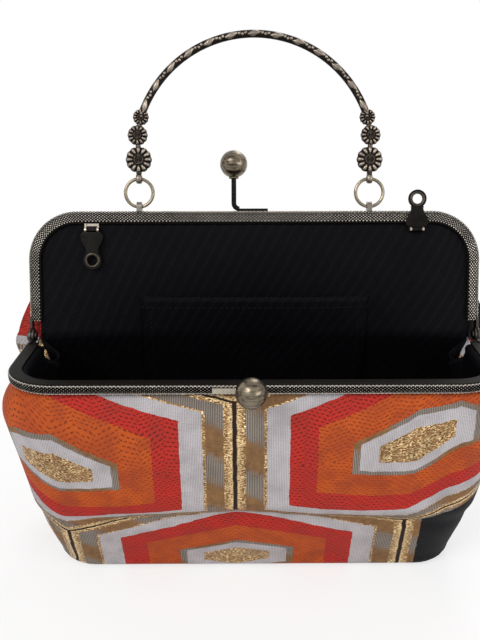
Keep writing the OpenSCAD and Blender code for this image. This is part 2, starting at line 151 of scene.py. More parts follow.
class Nodes:
    """Short ways to add the nodes of one material."""

    def __init__(self, name):
        self.material = bpy.data.materials.new(name)
        self.material.use_nodes = True
        self.tree = self.material.node_tree
        self.shader = self.tree.nodes["Principled BSDF"]

    def new(self, kind, **values):
        node = self.tree.nodes.new(kind)
        for key, value in values.items():
            setattr(node, key, value)
        return node

    def link(self, value, socket):
        """Joins an output to a socket, or sets the socket to a plain number, colour or vector."""
        if isinstance(value, bpy.types.NodeSocket):
            self.tree.links.new(value, socket)
        else:
            socket.default_value = value

    def math(self, operation, *values, clamp=False):
        node = self.new("ShaderNodeMath", operation=operation, use_clamp=clamp)
        for socket, value in zip(node.inputs, values):
            self.link(value, socket)
        return node.outputs[0]

    def add(self, a, b):
        return self.math("ADD", a, b)

    def sub(self, a, b):
        return self.math("SUBTRACT", a, b)

    def mul(self, a, b):
        return self.math("MULTIPLY", a, b)

    def above(self, value, edge, soft):
        """0 below the edge, 1 above it, with a soft step."""
        node = self.new("ShaderNodeMapRange", interpolation_type="SMOOTHSTEP")
        self.link(value, node.inputs["Value"])
        node.inputs["From Min"].default_value = edge - soft
        node.inputs["From Max"].default_value = edge + soft
        return node.outputs[0]

    def scaled(self, value, low, high, to_low, to_high):
        node = self.new("ShaderNodeMapRange")
        self.link(value, node.inputs["Value"])
        for key, number in zip(("From Min", "From Max", "To Min", "To Max"), (low, high, to_low, to_high)):
            node.inputs[key].default_value = number
        return node.outputs[0]

    def wave(self, value, pitch, shift=0.0):
        """Sine ribs, from 0 to 1, at a pitch in the value's own unit."""
        turn = self.math("MULTIPLY_ADD", value, 2 * math.pi / pitch, shift)
        return self.math("MULTIPLY_ADD", self.math("SINE", turn), 0.5, 0.5)

    def mix(self, share, a, b):
        node = self.new("ShaderNodeMix", data_type="RGBA")
        self.link(share, node.inputs["Factor"])
        for socket, value in zip((node.inputs[6], node.inputs[7]), (a, b)):
            self.link(value, socket)
        return node.outputs[2]

    def place(self):
        return self.new("ShaderNodeTexCoord").outputs["Object"]

    def uv(self, name):
        return self.new("ShaderNodeUVMap", uv_map=name).outputs[0]

    def attribute(self, name):
        return self.new("ShaderNodeAttribute", attribute_name=name).outputs["Fac"]

    def split(self, vector):
        node = self.new("ShaderNodeSeparateXYZ")
        self.link(vector, node.inputs[0])
        return node.outputs[0], node.outputs[1], node.outputs[2]

    def noise(self, vector, scale, detail=3.0, stretch=None):
        if stretch:
            mapping = self.new("ShaderNodeMapping")
            self.link(vector, mapping.inputs["Vector"])
            mapping.inputs["Scale"].default_value = stretch
            vector = mapping.outputs[0]
        node = self.new("ShaderNodeTexNoise")
        self.link(vector, node.inputs["Vector"])
        node.inputs["Scale"].default_value = scale
        node.inputs["Detail"].default_value = detail
        return node.outputs["Fac"]

    def bump(self, height, strength, distance):
        node = self.new("ShaderNodeBump")
        self.link(height, node.inputs["Height"])
        node.inputs["Strength"].default_value = strength
        node.inputs["Distance"].default_value = distance
        self.link(node.outputs[0], self.shader.inputs["Normal"])

    def finish(self, **sockets):
        """Sets the shader's sockets by name, with _ for a space, and gives the material."""
        for key, value in sockets.items():
            self.link(value, self.shader.inputs[key.replace("_", " ")])
        return self.material


def new_piece(name, points, faces, material, smooth=True):
    """Mesh object at the origin from points in mm."""
    mesh = bpy.data.meshes.new(name)
    mesh.from_pydata((np.asarray(points, float).reshape(-1, 3) * MM).tolist(), [], faces)
    mesh.materials.append(material)
    mesh.polygons.foreach_set("use_smooth", [smooth] * len(mesh.polygons))
    mesh.update()
    return add_object(name, mesh)


def turn_outwards(piece):
    """Points the faces of a closed mesh outwards."""
    shape = bmesh.new()
    shape.from_mesh(piece.data)
    bmesh.ops.recalc_face_normals(shape, faces=shape.faces)
    shape.to_mesh(piece.data)
    shape.free()
    piece.data.update()


def make_plain(piece):
    """Turns a piece's modifiers into its plain mesh, shaded smooth."""
    bpy.context.view_layer.update()
    graph = bpy.context.evaluated_depsgraph_get()
    mesh = bpy.data.meshes.new_from_object(piece.evaluated_get(graph))
    old = piece.data
    piece.modifiers.clear()
    piece.data = mesh
    mesh.name = piece.name
    mesh.polygons.foreach_set("use_smooth", [True] * len(mesh.polygons))
    bpy.data.meshes.remove(old)
    return piece


def give_values(piece, name, values):
    """Stores one number a point, which materials read by its name."""
    attribute = piece.data.attributes.new(name, "FLOAT", "POINT")
    attribute.data.foreach_set("value", np.asarray(values, np.float32).ravel())


def dress(piece, slot, body, *nodes):
    """Hides the solids that a piece stands for and puts the piece on the body that it rides on; slot is not
    used.
    """
    if nodes:
        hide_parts(*nodes)
    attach(piece, body)
    return piece


# Cloth: one grid of points serves brocade, lining and pocket, as in the part's source but finer
CORNER_N = 8
LINE_N = 40
LEG_N = 6
GUSSET_N = 14
EDGE_N = 5
WALL_N = 44
PANEL_N = 20
WAVES = 6
# Fold behind each leg of the frame: shift of the rear panel's outer columns, sideways and back
LEG_FOLD = [(0, 0), (0, 0.3), (0, 1.7), (10.5, 4), (20, 5.5), (21, 7.5), (15.5, 8.5), (9, 7), (2.5, 3)]
LEG_FOLD_Z = 112.0
LEG_FOLD_ABOVE = 32.0
LEG_FOLD_BELOW = 40.0
REAR_SWELL = 0.3
# Crease across the front wall, and how the pattern lies about it
CREASE_X = -10.0
CREASE_V = 46.0
CREASE_FALL = 0.1
CREASE_HIDES = 12.0
CREASE_REACH = 90.0
DRAPE_REACH = 105.0
PULL_V = 75.5
PULL_SHARE = 0.84
REAR_SHIFT_U = -174.0
REAR_SHIFT_V = 19.0


FLIP = np.array([-1.0, 1.0])


def arch_points(half_w, top, r, low, legs):
    """Round-cornered arch from its left foot to its right foot."""
    turn = np.radians(90.0 * np.arange(CORNER_N + 1) / CORNER_N)
    leg = low + (top - r - low) * np.arange(legs) / max(legs, 1)
    corner = points_of(-(half_w - r) - r * np.cos(turn), top - r + r * np.sin(turn))
    bar = points_of((half_w - r) * (2 * np.arange(1, LINE_N) / LINE_N - 1), top)
    left_leg = points_of(-half_w, leg)
    return np.concatenate([left_leg, corner, bar, corner[::-1] * FLIP, left_leg[::-1] * FLIP])


def as_front(plan, z):
    return points_of(plan[:, 0], -plan[:, 1], z)


def curve_between(a, c, b, n):
    t = (np.arange(1, n + 1) / (n + 1))[:, None]
    return a * (1 - t) ** 2 + c * 2 * t * (1 - t) + b * t * t


def join_loop(rear, right, front, left):
    return np.concatenate([rear, right, front[::-1], left])


def base_loop(inset, z):
    half_w = BASE_W / 2 - inset
    depth = BASE_D / 2 - inset
    r = BASE_R - inset
    plan = arch_points(half_w, depth, r, 0, 0)
    rear = points_of(plan[:, 0], plan[:, 1], z)
    front = as_front(arch_points(half_w, depth, r, BASE_SIDE_LOW, LEG_N), z)
    right = curve_between(rear[-1], (rear[-1] + front[-1]) / 2, front[-1], GUSSET_N)
    left = curve_between(front[0], (front[0] + rear[0]) / 2, rear[0], GUSSET_N)
    return join_loop(rear, right, front, left)


REAR_HALF_W = FRAME_W / 2 - RIM_INSET


def panel_row(inset, up):
    """Rear panel at the share up of its height; it bulges most at its foot and lies flat in the channel."""
    plan = arch_points(REAR_HALF_W - inset, FRAME_H - RIM_INSET - inset, FRAME_R - RIM_INSET - inset, 0, 0)
    flat = 1 - (plan[:, 0] / (REAR_HALF_W - inset)) ** 2
    y = BROCADE_Y - inset + REAR_BULGE * flat ** 2 * (1 - up) ** 2
    return rear_place(points_of(plan[:, 0], y, plan[:, 1] * up))


def front_rim(depth, drop):
    """Line along the front half, a depth in from its outer edge and a drop under the closing plane."""
    plan = arch_points(FRAME_W / 2 - depth, FRAME_H - depth, FRAME_R - depth, FRONT_LEG_LOW, LEG_N)
    return front_place(points_of(plan[:, 0], -drop, plan[:, 1]))


def rim_loop(inset, rim_depth, rim_drop):
    rear = panel_row(inset, 0)
    front = front_rim(rim_depth, rim_drop)
    tuck = REAR_HALF_W - GUSSET_TUCK - inset
    dip = HINGE_Z - FRONT_RIM_DROP - GUSSET_DIP
    right = curve_between(rear[-1], np.array([tuck, 0, dip]), front[-1], GUSSET_N)
    left = curve_between(front[0], np.array([-tuck, 0, dip]), rear[0], GUSSET_N)
    return join_loop(rear, right, front, left)


def wall_rows(inset, rim_depth, rim_drop):
    """Rows of points from the base to the hinges, shape (rows, columns, 3)."""
    rows = []
    for i in range(EDGE_N + 1):
        a = math.radians(90 * i / EDGE_N)
        r = EDGE_R - inset
        rows.append(base_loop(inset + r * (1 - math.sin(a)), inset + r * (1 - math.cos(a))))
    low = base_loop(inset, EDGE_R)
    high = rim_loop(inset, rim_depth, rim_drop)
    lean = low[:, 1] / np.hypot(low[:, 0] * BASE_D / BASE_W, low[:, 1])
    bulge = SIDE_BULGE + (FRONT_BULGE - SIDE_BULGE) * np.maximum(0, -lean) ** 2
    way = low * [1 / BASE_W, 1 / BASE_D, 0]
    way /= np.linalg.norm(way, axis=1)[:, None]
    for i in range(1, WALL_N + 1):
        w = i / WALL_N
        rows.append(low * (1 - w) + high * w + way * (bulge * math.sin(math.pi * w))[:, None])
    return np.array(rows)


REAR_COLS = 2 * (CORNER_N + 1) + LINE_N - 1
FRONT_COLS = REAR_COLS + 2 * LEG_N
FRONT_FIRST = REAR_COLS + GUSSET_N
ALL_COLS = REAR_COLS + FRONT_COLS + 2 * GUSSET_N
REAR_PART = list(range(REAR_COLS))
BODY_PART = list(range(REAR_COLS - 1, ALL_COLS)) + [0]
FRONT_IN_BODY = FRONT_FIRST - REAR_COLS + 1
BODY_MID = FRONT_IN_BODY + FRONT_COLS // 2
REAR_MID = REAR_COLS // 2


def lengths_along(grid, axis, start):
    """Distance along the cloth, in mm, from the start row or column."""
    step = np.linalg.norm(np.diff(grid, axis=axis), axis=2)
    total = np.cumsum(step, axis=axis)
    pad = [(0, 0), (0, 0)]
    pad[axis] = (1, 0)
    total = np.pad(total, pad)
    return total - np.take(total, [start], axis=axis)


def out_of_wall(grid):
    """Level way out of the bag at each point."""
    out = grid * [1 / BASE_W, 1 / BASE_D, 0]
    return out / np.maximum(np.linalg.norm(out, axis=-1), 1e-6)[..., None]


def wavy(grid, height, seed):
    """Soft unevenness of hand-sewn cloth: a few fixed long waves, in mm, along each point's way out."""
    place = np.random.default_rng(seed)
    total = np.zeros(grid.shape[:2])
    for _ in range(WAVES):
        way = place.normal(size=3) * [0.045, 0.045, 0.035]
        total += np.sin(grid @ way + place.uniform(0, 6.28)) / WAVES
    return grid + out_of_wall(grid) * (height * total)[..., None]


def cloth_faces(rows, cols):
    at = np.arange(rows * cols).reshape(rows, cols)
    return np.stack([at[:-1, :-1], at[1:, :-1], at[1:, 1:], at[:-1, 1:]], -1).reshape(-1, 4)


class Sheets:
    """Collects grids of cloth, with their places on the flat cloth, into one piece."""

    def __init__(self):
        self.points = []
        self.faces = []
        self.flat = []
        self.count = 0

    def add(self, grid, u, v):
        rows, cols = grid.shape[:2]
        faces = cloth_faces(rows, cols)
        flat = np.stack([u, v], -1).reshape(-1, 2)
        self.points.append(grid.reshape(-1, 3))
        self.faces += (faces + self.count).tolist()
        self.flat.append(flat)
        self.count += rows * cols

    def piece(self, name, material, thickness):
        """Piece with its thickness on the inner side; the UV map holds mm on the flat cloth."""
        points = np.concatenate(self.points)
        flat = np.concatenate(self.flat)
        cloth = new_piece(name, points, self.faces, material)
        layer = cloth.data.uv_layers.new(name="cloth")
        corners = np.array(self.faces).ravel()
        layer.data.foreach_set("uv", flat[corners].astype(np.float32).ravel())
        shape = bmesh.new()
        shape.from_mesh(cloth.data)
        bmesh.ops.remove_doubles(shape, verts=shape.verts, dist=0.02 * MM)
        shape.to_mesh(cloth.data)
        shape.free()
        wall = cloth.modifiers.new("thickness", "SOLIDIFY")
        wall.thickness = thickness * MM
        wall.offset = -1.0
        wall.use_even_offset = False
        return make_plain(cloth)


def fold_gussets(rows, depth, folds):
    """Presses soft upright folds into the gussets, deeper towards the hinges."""
    out = rows.copy()
    tall = np.clip((rows[:, :, 2] - 20) / (HINGE_Z - 30), 0, 1)
    for first in (REAR_COLS, FRONT_FIRST + FRONT_COLS):
        span = np.arange(-3, GUSSET_N + 3)
        across = (span + 0.5) / GUSSET_N
        ease = np.clip(np.minimum(across + 0.2, 1.2 - across) / 0.3, 0, 1)
        wave = 0.5 - 0.5 * np.cos(2 * np.pi * folds * across)
        col = (first + span) % ALL_COLS
        side = -np.sign(rows[0, col[0], 0])
        out[:, col, 0] += side * depth * tall[:, col] ** 1.5 * (wave * ease)[None, :]
    return out


def sag_front(rows):
    """Lets the slack front wall hang over its foot, with a crease under the overhang."""
    strip = slice(FRONT_FIRST - 4, FRONT_FIRST + FRONT_COLS + 4)
    front = rows[:, strip]
    line = CREASE_V - CREASE_FALL * np.abs(front[:, :, 0] - CREASE_X)
    high = lengths_along(front, 0, EDGE_N) - line
    ease = np.clip(1.15 - np.abs(front[:, :, 0]) / DRAPE_REACH, 0, 1) ** 0.5
    push = 2.4 * np.exp(-((high - 6.5) / 7.0) ** 2) - 2.6 * np.exp(-((high + 3.5) / 5.0) ** 2)
    rows = rows.copy()
    rows[:, strip] += out_of_wall(front) * (push * ease)[..., None]
    return rows


def swell_sides(rows, size):
    """Lets slack cloth swell out at the bag's sides, most of all a little under the hinges."""
    share = np.clip((np.arange(len(rows)) - EDGE_N) / WALL_N, 0, 1)[:, None]
    out = out_of_wall(rows)
    push = size * np.sin(np.pi * share ** 5) * np.clip(np.abs(out[:, :, 0]) * 1.25, 0, 1) ** 2
    push[:, :REAR_COLS] *= REAR_SWELL
    return rows + out * push[..., None]


def fold_behind_legs(whole):
    """Lets the rear panel's edges swell out behind the legs of the frame, as a fold beside each hinge."""
    whole = whole.copy()
    shift = np.array(LEG_FOLD)
    z = whole[:, :, 2] - LEG_FOLD_Z
    tall = np.exp(-(z / np.where(z > 0, LEG_FOLD_ABOVE, LEG_FOLD_BELOW)) ** 2)
    for cols, side in ((slice(0, len(shift)), -1), (slice(-1, -len(shift) - 1, -1), 1)):
        whole[:, cols, 0] += side * shift[:, 0] * tall[:, cols]
        whole[:, cols, 1] += shift[:, 1] * tall[:, cols]
    return whole


def drape(u, v):
    """Place on the flat cloth: pulled up to the frame, higher at the sides and hidden in the crease."""
    side = np.clip(u - CREASE_X, -DRAPE_REACH, DRAPE_REACH)
    rise = 0.04 * side + 1.25e-7 * side ** 4
    fold = CREASE_HIDES * np.clip(1 - (side / CREASE_REACH) ** 2, 0, 1)
    under = np.clip((CREASE_V - CREASE_FALL * np.abs(side) - v) / 2.5 + 0.5, 0, 1)
    pulled = np.where(v > PULL_V, PULL_V + (v - PULL_V) * PULL_SHARE, v)
    return pulled - rise - fold * under


def make_bag_cloth(name, inset, rim_depth, rim_drop, tucks, material, thickness, folds, swell, leg_folds):
    """Rear panel, which stays with the bag, and body, which follows the front half of the frame."""
    rows = wall_rows(inset, rim_depth, rim_drop)
    panel = np.array([panel_row(inset, i / PANEL_N) for i in range(1, PANEL_N + 1)])
    rim = rows[-1].copy()
    soft = fold_gussets(wavy(rows, 0.9, 3), *folds)
    share = np.linspace(0, 1, len(rows))[:, None, None]
    hold = np.clip(np.minimum(share / 0.2, (1 - share) / 0.08), 0, 1)
    gusset = np.zeros(ALL_COLS, bool)
    gusset[REAR_COLS - 1:FRONT_FIRST] = True
    gusset[FRONT_FIRST + FRONT_COLS:] = True
    free = np.where(gusset[None, :, None], np.clip(share / 0.2, 0, 1), hold)
    rows = swell_sides(sag_front(rows + (soft - rows) * free), swell)

    whole = np.concatenate([rows[:, REAR_PART], panel])
    u = lengths_along(whole, 1, REAR_MID)
    v = lengths_along(whole, 0, EDGE_N)
    rear = Sheets()
    if leg_folds:
        whole = fold_behind_legs(whole)
    rear.add(whole, REAR_SHIFT_U - u, REAR_SHIFT_V + v)
    back = rear.piece(name + "_rear", material, thickness)

    body_rows = rows[:, BODY_PART]
    u = -lengths_along(body_rows, 1, BODY_MID)
    v = lengths_along(body_rows, 0, EDGE_N)
    body = Sheets()
    body.add(body_rows, u, drape(u, v))
    strip = slice(FRONT_IN_BODY, FRONT_IN_BODY + FRONT_COLS)
    turned = np.array([rim[FRONT_FIRST:FRONT_FIRST + FRONT_COLS]] +
                      [front_rim(depth, drop)[::-1] for depth, drop in tucks])
    v_turned = v[-1, strip] + lengths_along(turned, 0, 0)
    u_turned = np.repeat(u[-1:, strip], len(turned), 0)
    body.add(turned, u_turned, drape(u_turned, v_turned))
    foot = rows[0]
    closed = np.concatenate([foot, foot[:1]])
    mid = np.array([0, 0, foot[0, 2]])
    under = np.array([mid + (closed - mid) * s for s in (0.0, 0.35, 0.7, 1.0)])
    body.add(under, under[:, :, 0], -CREASE_HIDES - under[:, :, 1] - BASE_D / 2)
    front = body.piece(name + "_body", material, thickness)
    return back, front


def follow_front(piece):
    """Bakes the cloth's place into its mesh."""
    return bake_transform(piece)


# Finishes

# Brocade: flattened hexagons in rows, each a nest of bands; sizes in mm on the flat cloth
HEX_A = 87.0
HEX_B = 53.0
HEX_S = 30.0
HEX_ROW = HEX_B + HEX_S
HEX_SHIFT_U = 77.0
HEX_SHIFT_V = 75.5
HEX_FLATTEN = 0.045
SAG_V = 70.0
SAG_HALF = 26.0
SAG_DEPTH = 6.5
DASH_ROW = 1.7
DASH_STEP = 2.5
# Levels of the gold bands: the middle, the thin line and the rim
GOLD_MIDDLE = 0.20
GOLD_LINE = (0.822, 0.838)
GOLD_RIM = (0.94, 0.985)
BLACK_LEVEL = 0.90

# Foil colours: the first is a painted glint and the third is painted shade in the foil's crinkles
FOIL_PAINTED_GLINT = (1.0, 0.74, 0.40, 1)
FOIL_MID = (0.37, 0.205, 0.080, 1)
FOIL_PAINTED_SHADE = (0.080, 0.040, 0.017, 1)
SATIN_BROWN = (0.255, 0.138, 0.060, 1)
SEAM_DARK = (0.018, 0.010, 0.008, 1)
CLOTH_PALE = (0.56, 0.525, 0.535, 1)
CLOTH_RED = (0.43, 0.026, 0.018, 1)
CLOTH_ORANGE = (0.46, 0.082, 0.014, 1)
CLOTH_BLACK = (0.006, 0.0055, 0.007, 1)


def hex_cell(n, u, v, shift_u, shift_v):
    """Level in one lattice of nested hexagons, 0 in the middle and 1 at the edge, and places in the cell."""
    parts = []
    for value, shift, half in ((u, shift_u, HEX_A), (v, shift_v, HEX_ROW)):
        cell = n.math("FLOOR", n.math("DIVIDE", n.add(value, half - shift), 2 * half))
        near = n.math("ABSOLUTE", n.sub(n.sub(value, shift), n.mul(cell, 2 * half)))
        parts.append((near, cell))
    (across, column), (along, _) = parts
    slope = n.math("MULTIPLY_ADD", across, (HEX_B - HEX_S) / HEX_A, along)
    rise = n.math("DIVIDE", slope, HEX_B)
    # The inner hexagons are flatter than the outer ones
    rise = n.add(rise, n.mul(n.math("SINE", n.mul(rise, 2 * math.pi)), HEX_FLATTEN))
    level = n.math("MAXIMUM", n.math("DIVIDE", across, HEX_A), rise)
    return level, across, along, column


def make_brocade():
    n = Nodes("brocade")
    cloth = n.uv("cloth")
    u, v, _ = n.split(cloth)
    wobble = n.noise(cloth, 0.22, 3.0)
    u_soft = n.add(u, n.mul(n.sub(wobble, 0.5), 1.3))
    v_soft = n.add(v, n.mul(n.sub(n.noise(cloth, 0.2, 2.0), 0.5), 1.3))
    # The cloth hangs loose at the front's left, so that cell's middle sits lower
    off_mid = n.math("DIVIDE", n.sub(v, SAG_V), SAG_HALF)
    sag = n.math("MAXIMUM", n.sub(1.0, n.mul(off_mid, off_mid)), 0.0)
    sag = n.mul(sag, n.above(n.mul(u, -1.0), 40.0, 30.0))
    v_soft = n.add(v_soft, n.mul(sag, SAG_DEPTH))
    first = hex_cell(n, u_soft, v_soft, HEX_SHIFT_U, HEX_SHIFT_V)
    second = hex_cell(n, u_soft, v_soft, HEX_SHIFT_U + HEX_A, HEX_SHIFT_V + HEX_ROW)
    pick = n.math("LESS_THAN", second[0], first[0])

    def chosen(i):
        return n.add(first[i], n.mul(pick, n.sub(second[i], first[i])))

    level, across, along = chosen(0), chosen(1), chosen(2)

    # Red and orange fields: rows of short dark dashes, leaning to and fro from one stripe to the next
    stripe = n.above(n.wave(across, 21.0), 0.4, 0.02)
    lean = n.add(along, n.mul(across, n.scaled(stripe, 0, 1, 0.22, -0.34)))
    lean = n.add(lean, n.mul(n.sub(n.noise(cloth, 0.5, 2.0), 0.5), 0.6))
    row = n.math("FLOOR", n.math("DIVIDE", lean, DASH_ROW))
    dash_row = n.wave(lean, DASH_ROW)
    dash_step = n.wave(n.add(across, n.mul(row, 1.27)), DASH_STEP)
    dash = n.mul(n.above(dash_row, 0.79, 0.18), n.above(dash_step, 0.32, 0.25))
    shade = n.noise(cloth, 0.09, 3.0)
    red = n.mix(n.mul(dash, 0.85), CLOTH_RED, (0.075, 0.008, 0.008, 1))
    orange = n.mix(n.mul(dash, 0.8), CLOTH_ORANGE, (0.12, 0.020, 0.007, 1))
    orange = n.mix(n.scaled(shade, 0.38, 0.68, 0.0, 0.6), orange, (0.36, 0.045, 0.012, 1))

    # Pale ground: fine upright ribs, greyer between them
    ribs = n.wave(u, 0.82)
    cross = n.wave(v, 0.62)
    weave = n.math("MULTIPLY_ADD", cross, 0.3, n.mul(ribs, 0.7))
    pale = n.mix(weave, CLOTH_PALE, (0.29, 0.27, 0.285, 1))

    # Foil: flat gold threads, crinkled, with painted glints as light flecks and painted shade as dark flecks
    fleck = n.noise(cloth, 1.2, 3.0, (0.75, 1.35, 1.0))
    crinkle = n.noise(cloth, 0.35, 3.0)
    glint = n.above(n.add(fleck, n.mul(n.sub(crinkle, 0.5), 0.45)), 0.555, 0.05)
    deep = n.sub(1.0, n.above(fleck, 0.43, 0.05))
    foil = n.mix(glint, n.mix(deep, FOIL_MID, FOIL_PAINTED_SHADE), FOIL_PAINTED_GLINT)
    # Painted shade: broad patches of the foil are darkened, as where it folds away from the light
    painted_fold_shade = n.above(n.noise(cloth, 0.16, 2.0), 0.5, 0.12)
    foil = n.mix(n.mul(painted_fold_shade, 0.4), foil, (0.20, 0.105, 0.042, 1))
    # Painted highlight: the rim's foil lightens towards the seam
    seam_painted_highlight = n.mul(n.scaled(level, 0.955, 0.982, 0.0, 0.6), n.above(fleck, 0.42, 0.1))
    foil = n.mix(seam_painted_highlight, foil, FOIL_PAINTED_GLINT)

    # Brown band: satin that gives way to ribbed silver in long slanting patches
    patch = n.add(n.add(v, n.mul(u, 0.45)), n.mul(n.sub(crinkle, 0.5), 9.0))
    silver = n.above(n.wave(patch, 29.0), 0.5, 0.3)
    ribbed = n.mix(ribs, (0.33, 0.305, 0.275, 1), (0.045, 0.040, 0.036, 1))
    satin_twill = n.wave(n.add(u, n.mul(v, 1.6)), 1.1)
    satin_shade = n.mul(n.add(satin_twill, n.scaled(crinkle, 0.3, 0.7, -0.4, 0.8)), 0.5)
    satin = n.mix(satin_shade, SATIN_BROWN, (0.115, 0.056, 0.022, 1))
    band = n.mix(n.mul(silver, 0.85), satin, ribbed)

    bands = [(GOLD_MIDDLE, foil), (0.305, pale), (0.346, band), (0.54, orange), (0.695, red),
             (GOLD_LINE[0], pale), (GOLD_LINE[1], foil), (GOLD_RIM[0], band), (GOLD_RIM[1], foil)]
    color = bands[0][1]
    for (edge, _), (_, following) in zip(bands, bands[1:]):
        color = n.mix(n.above(level, edge, 0.003), color, following)
    seam = n.above(level, 0.987, 0.004)
    color = n.mix(seam, color, SEAM_DARK)
    # One cell in three of the offset rows is black inside its gold edge
    third = n.math("FLOORED_MODULO", second[3], 3.0)
    black_cell = n.mul(pick, n.math("LESS_THAN", third, 0.5))
    black_cell = n.mul(black_cell, n.math("LESS_THAN", level, BLACK_LEVEL))
    color = n.mix(n.scaled(shade, 0.4, 0.75, 0.0, 0.28), color, (0.05, 0.03, 0.025, 1))
    color = n.mix(black_cell, color, CLOTH_BLACK)

    plain = n.sub(1.0, black_cell)
    gold = n.math("LESS_THAN", level, GOLD_MIDDLE)
    for low, high in (GOLD_LINE, GOLD_RIM):
        inside = n.mul(n.math("GREATER_THAN", level, low), n.math("LESS_THAN", level, high))
        gold = n.math("MAXIMUM", gold, inside)
    gold = n.mul(gold, plain)
    height = n.mul(n.add(n.mul(fleck, 2.0), n.wave(v, 0.9)), gold)
    height = n.add(height, n.mul(n.sub(1.0, gold), n.mul(weave, 0.6)))
    height = n.sub(height, n.add(n.mul(seam, 1.6), n.mul(dash, 0.8)))
    n.bump(height, 0.5, 0.00035)
    metal = n.mul(gold, n.scaled(glint, 0, 1, 0.5, 0.95))
    rough = n.math("MULTIPLY_ADD", gold, -0.36, 0.66)
    return n.finish(Base_Color=color, Metallic=metal, Roughness=rough, Specular_IOR_Level=0.12)


def make_lining_cloth():
    n = Nodes("lining_cloth")
    u, v, _ = n.split(n.uv("cloth"))
    twill = n.wave(n.add(u, n.mul(v, 0.8)), 1.5)
    wide = n.wave(n.add(u, n.mul(v, 0.55)), 6.2)
    cloud = n.noise(n.uv("cloth"), 0.03, 3.0)
    pucker = n.noise(n.uv("cloth"), 0.11, 3.0, (1.0, 0.45, 1.0))
    shade = n.add(n.mul(twill, 0.45), n.mul(n.above(wide, 0.8, 0.2), 0.3))
    color = n.mix(n.mul(shade, n.scaled(cloud, 0.3, 0.7, 0.5, 1.0)), (0.0022, 0.0022, 0.0030, 1),
                  (0.0085, 0.0085, 0.0108, 1))
    n.bump(n.add(n.mul(pucker, 9.0), n.add(twill, n.mul(wide, 0.3))), 0.5, 0.0003)
    return n.finish(Base_Color=color, Roughness=0.6, Specular_IOR_Level=0.04)


def make_worn_metal(name, bright, dark, roughness, patina_and_painted_light=None, streak=None, rubbed=0.35, crisp=0.3):
    """Antiqued metal: dark in its hollows, brighter where it is rubbed, with fine scratches; the value a
    point that it reads also holds painted highlights and painted shade on the frame.
    """
    n = Nodes(name)
    place = n.place()
    cloud = n.noise(place, 130.0, 4.0)
    scratch = n.noise(place, 900.0, 2.0, streak or (1.0, 1.0, 1.0))
    stain = n.scaled(cloud, 0.35, 0.72, 0.0, 0.45)
    if patina_and_painted_light:
        stain = n.math("MAXIMUM", stain, n.above(n.attribute(patina_and_painted_light), 0.5, crisp))
    shade = n.math("ADD", stain, n.scaled(scratch, 0.45, 0.8, 0.0, rubbed), clamp=True)
    color = n.mix(shade, bright, dark)
    rough = n.scaled(shade, 0, 1, roughness, min(roughness + 0.3, 0.9))
    n.bump(scratch, 0.18, 0.0002)
    return n.finish(Base_Color=color, Metallic=1.0, Roughness=rough)


def make_paper():
    n = Nodes("twisted_paper")
    x, y, z = n.split(n.place())
    twist = n.wave(n.add(x, n.mul(n.add(y, z), 1.4)), 0.0022)
    fleck = n.noise(n.place(), 700.0, 3.0)
    color = n.mix(n.mul(twist, fleck), (0.62, 0.50, 0.33, 1), (0.36, 0.27, 0.16, 1))
    n.bump(twist, 0.5, 0.0004)
    return n.finish(Base_Color=color, Roughness=0.85)


def make_stitch_thread(name, color, deep):
    n = Nodes(name)
    twist = n.noise(n.place(), 2500.0, 2.0)
    shade = n.mix(twist, color, deep)
    n.bump(twist, 0.4, 0.0001)
    return n.finish(Base_Color=shade, Roughness=0.8, Specular_IOR_Level=0.15)


BROCADE = make_brocade()
LINING_CLOTH = make_lining_cloth()
FRAME_METAL = make_worn_metal("frame_metal", (0.24, 0.215, 0.185, 1), (0.03, 0.026, 0.022, 1), 0.28)
KNURL_METAL = make_worn_metal("knurled_metal", (0.60, 0.55, 0.49, 1), (0.007, 0.006, 0.005, 1), 0.27,
                              patina_and_painted_light="patina_and_painted_light", crisp=0.16)
CAST_METAL = make_worn_metal("cast_metal", (0.35, 0.295, 0.24, 1), (0.019, 0.015, 0.013, 1), 0.26,
                             patina_and_painted_light="patina_and_painted_light")
BALL_METAL = make_worn_metal("ball_metal", (0.24, 0.20, 0.145, 1), (0.020, 0.016, 0.011, 1), 0.2,
                             streak=(0.08, 0.8, 1.0), rubbed=1.0)
HINGE_METAL = make_worn_metal("hinge_metal", (0.075, 0.066, 0.057, 1), (0.010, 0.009, 0.008, 1), 0.3)
DARK_METAL = make_worn_metal("dark_metal", (0.014, 0.013, 0.012, 1), (0.004, 0.0035, 0.0035, 1), 0.36)
RING_METAL = make_worn_metal("ring_metal", (0.30, 0.25, 0.18, 1), (0.05, 0.04, 0.03, 1), 0.2)
BRIGHT_METAL = make_worn_metal("bright_metal", (0.50, 0.45, 0.37, 1), (0.16, 0.13, 0.10, 1), 0.2)
PAPER = make_paper()
EYELET_METAL = make_worn_metal("eyelet_metal", (0.070, 0.058, 0.043, 1), (0.012, 0.010, 0.009, 1), 0.3)
BLACK_THREAD = make_stitch_thread("black_thread", (0.006, 0.006, 0.008, 1), (0.002, 0.002, 0.003, 1))


# Metal pieces

# Knurl of the frame: half its pitch along the bar and across it, and half its height
KNURL_ALONG = 0.93
KNURL_ACROSS = 0.7
KNURL_HEIGHT = 0.17
BAR_EDGE = 1.3


